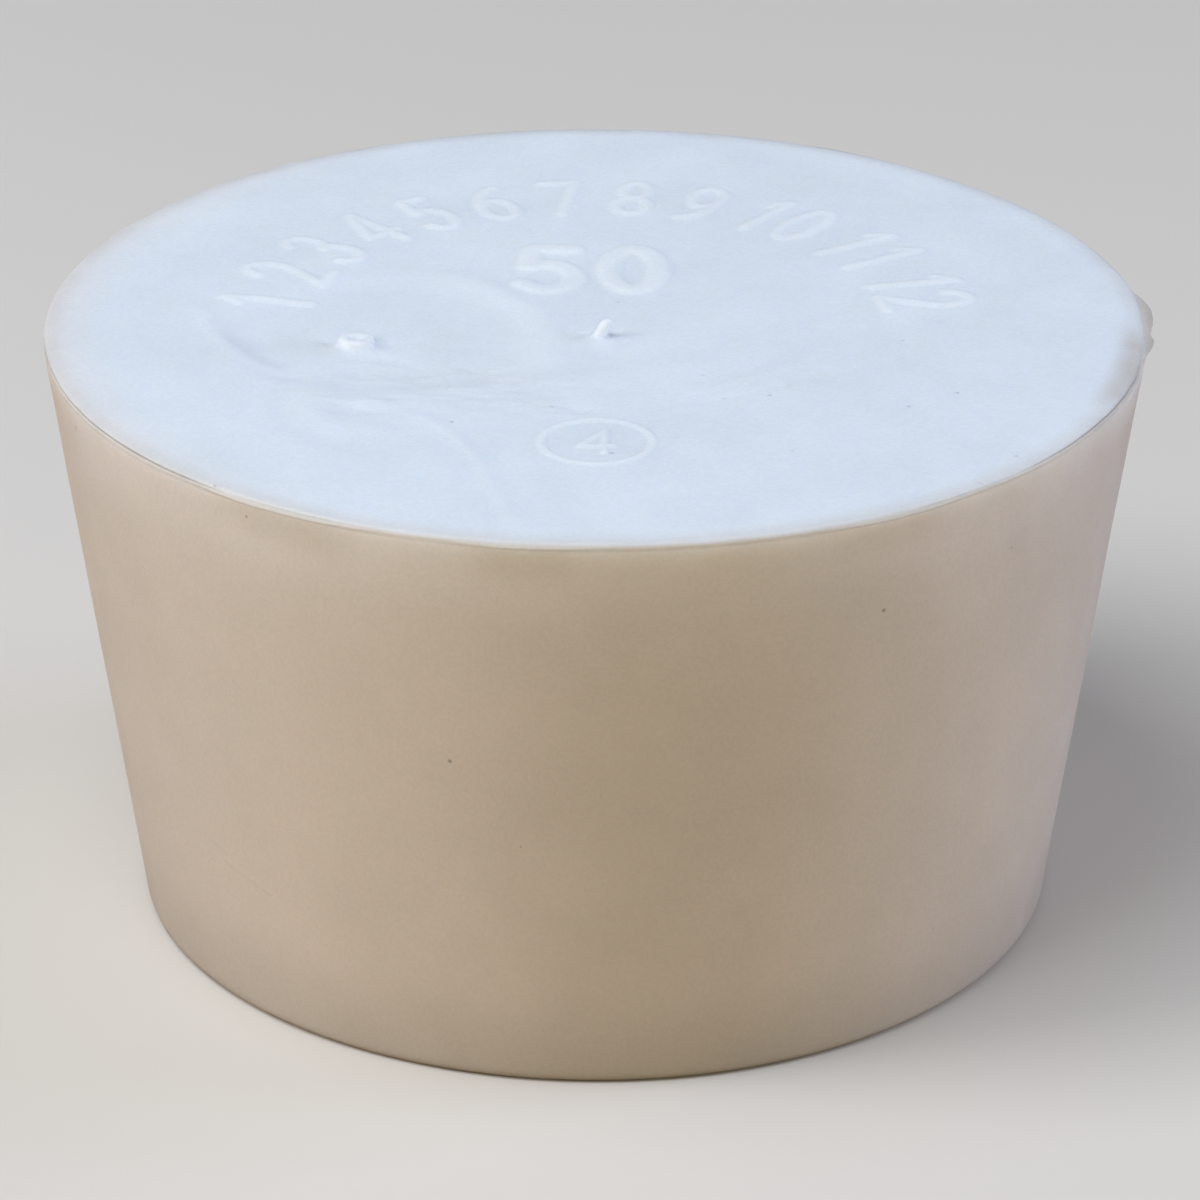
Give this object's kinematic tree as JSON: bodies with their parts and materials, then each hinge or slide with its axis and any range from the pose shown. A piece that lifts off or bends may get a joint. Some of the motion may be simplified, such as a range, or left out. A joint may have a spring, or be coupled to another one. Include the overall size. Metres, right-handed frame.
{
  "type": "rubber stopper",
  "caption": "Solid tapered rubber stopper: a truncated cone plug with a flat small end, a flat large end with a shallow round mould mark, and a thin flash lip round its rim.",
  "frame": {"origin": "centre of the small end's flat face, on which the stopper stands", "axes": "+Z along the taper's axis, from the small end up to the large end; +X towards the torn flash tab on the rim"},
  "size_m": [0.0498, 0.05, 0.0286],
  "materials": {
    "white_rubber": "smooth matte moulded white rubber"
  },
  "bodies": {
    "root": {"stopper": "white_rubber"}
  },
  "joints": []
}
